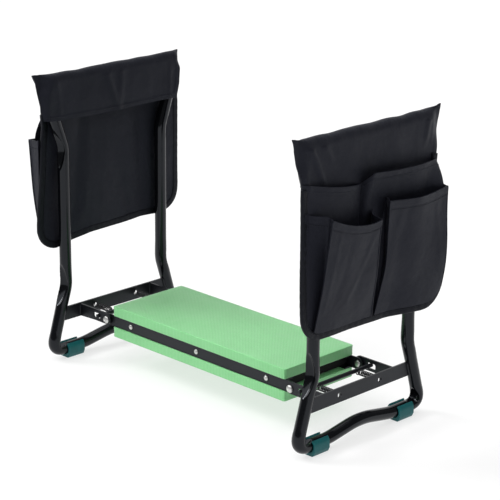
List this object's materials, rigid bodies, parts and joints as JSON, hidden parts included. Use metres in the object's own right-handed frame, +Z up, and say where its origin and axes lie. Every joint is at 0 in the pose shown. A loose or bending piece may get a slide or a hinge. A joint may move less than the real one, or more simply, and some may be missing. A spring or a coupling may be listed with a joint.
{
  "type": "folding garden kneeler seat",
  "caption": "Folding garden kneeler and seat: padded board between two tube frames that fold inward, each with a fabric tool bag; shown as a kneeler.",
  "frame": {"origin": "centre of the footprint, on the ground", "axes": "+X along the seat from one frame to the other, +Y across the seat, +Z up in the kneeler position"},
  "size_m": [0.6558, 0.304, 0.4931],
  "materials": {
    "foam_pad": "closed-cell foam, fine square emboss, matt",
    "board": "black painted board, hidden between the pads",
    "rivet": "zinc plated, bright",
    "spring_wire": "dark oiled spring steel",
    "foot_clip": "moulded plastic, satin",
    "bag_fabric": "coated woven polyester with bound edges",
    "frame_tube": "black powder coat, satin",
    "plate_steel": "black powder coat, satin"
  },
  "bodies": {
    "seat": {"pad_top": "foam_pad", "pad_bottom": "foam_pad", "seat_board": "board", "rail_front": "plate_steel", "rail_back": "plate_steel", "rail_screw_front_1": "rivet", "rail_screw_front_2": "rivet", "rail_screw_front_3": "rivet", "rail_screw_back_1": "rivet", "rail_screw_back_2": "rivet", "rail_screw_back_3": "rivet"},
    "left_leg": {"left_frame": "frame_tube", "left_cross_plate": "plate_steel", "left_bag_panel": "bag_fabric", "left_bag_sleeve": "bag_fabric", "left_pocket_upper": "bag_fabric", "left_pocket_lower_front": "bag_fabric", "left_ear_front": "plate_steel", "left_pivot_rivet_front": "rivet", "left_foot_front": "foot_clip", "left_spring_front": "spring_wire", "left_pocket_lower_back": "bag_fabric", "left_ear_back": "plate_steel", "left_pivot_rivet_back": "rivet", "left_foot_back": "foot_clip", "left_spring_back": "spring_wire"},
    "right_leg": {"right_frame": "frame_tube", "right_cross_plate": "plate_steel", "right_bag_panel": "bag_fabric", "right_bag_sleeve": "bag_fabric", "right_pocket_upper": "bag_fabric", "right_pocket_lower_front": "bag_fabric", "right_ear_front": "plate_steel", "right_pivot_rivet_front": "rivet", "right_foot_front": "foot_clip", "right_spring_front": "spring_wire", "right_pocket_lower_back": "bag_fabric", "right_ear_back": "plate_steel", "right_pivot_rivet_back": "rivet", "right_foot_back": "foot_clip", "right_spring_back": "spring_wire"},
    "left_latch": {"left_latch_rod": "plate_steel"},
    "right_latch": {"right_latch_rod": "plate_steel"}
  },
  "joints": [
    {"name": "left_fold", "type": "hinge", "parent": "seat", "child": "left_leg", "pos_m": [-0.2137, 0, 0.0775], "axis": [0, 1, 0], "range_deg": [0, 94], "deforming": ["left_pocket_upper", "left_pocket_lower_front", "left_pocket_lower_back"]},
    {"name": "right_fold", "type": "hinge", "parent": "seat", "child": "right_leg", "pos_m": [0.2137, 0, 0.0775], "axis": [0, -1, 0], "range_deg": [0, 83], "deforming": ["right_pocket_upper", "right_pocket_lower_front", "right_pocket_lower_back"]},
    {"name": "left_latch_slide", "type": "slide", "parent": "left_leg", "child": "left_latch", "axis": [-1, 0, 0], "range_m": [0, 0.008], "stiffness_N_per_m": 300, "springref_m": -0.008, "deforming": ["left_spring_front", "left_spring_back"]},
    {"name": "right_latch_slide", "type": "slide", "parent": "right_leg", "child": "right_latch", "axis": [1, 0, 0], "range_m": [0, 0.008], "stiffness_N_per_m": 300, "springref_m": -0.008, "deforming": ["right_spring_front", "right_spring_back"]}
  ]
}
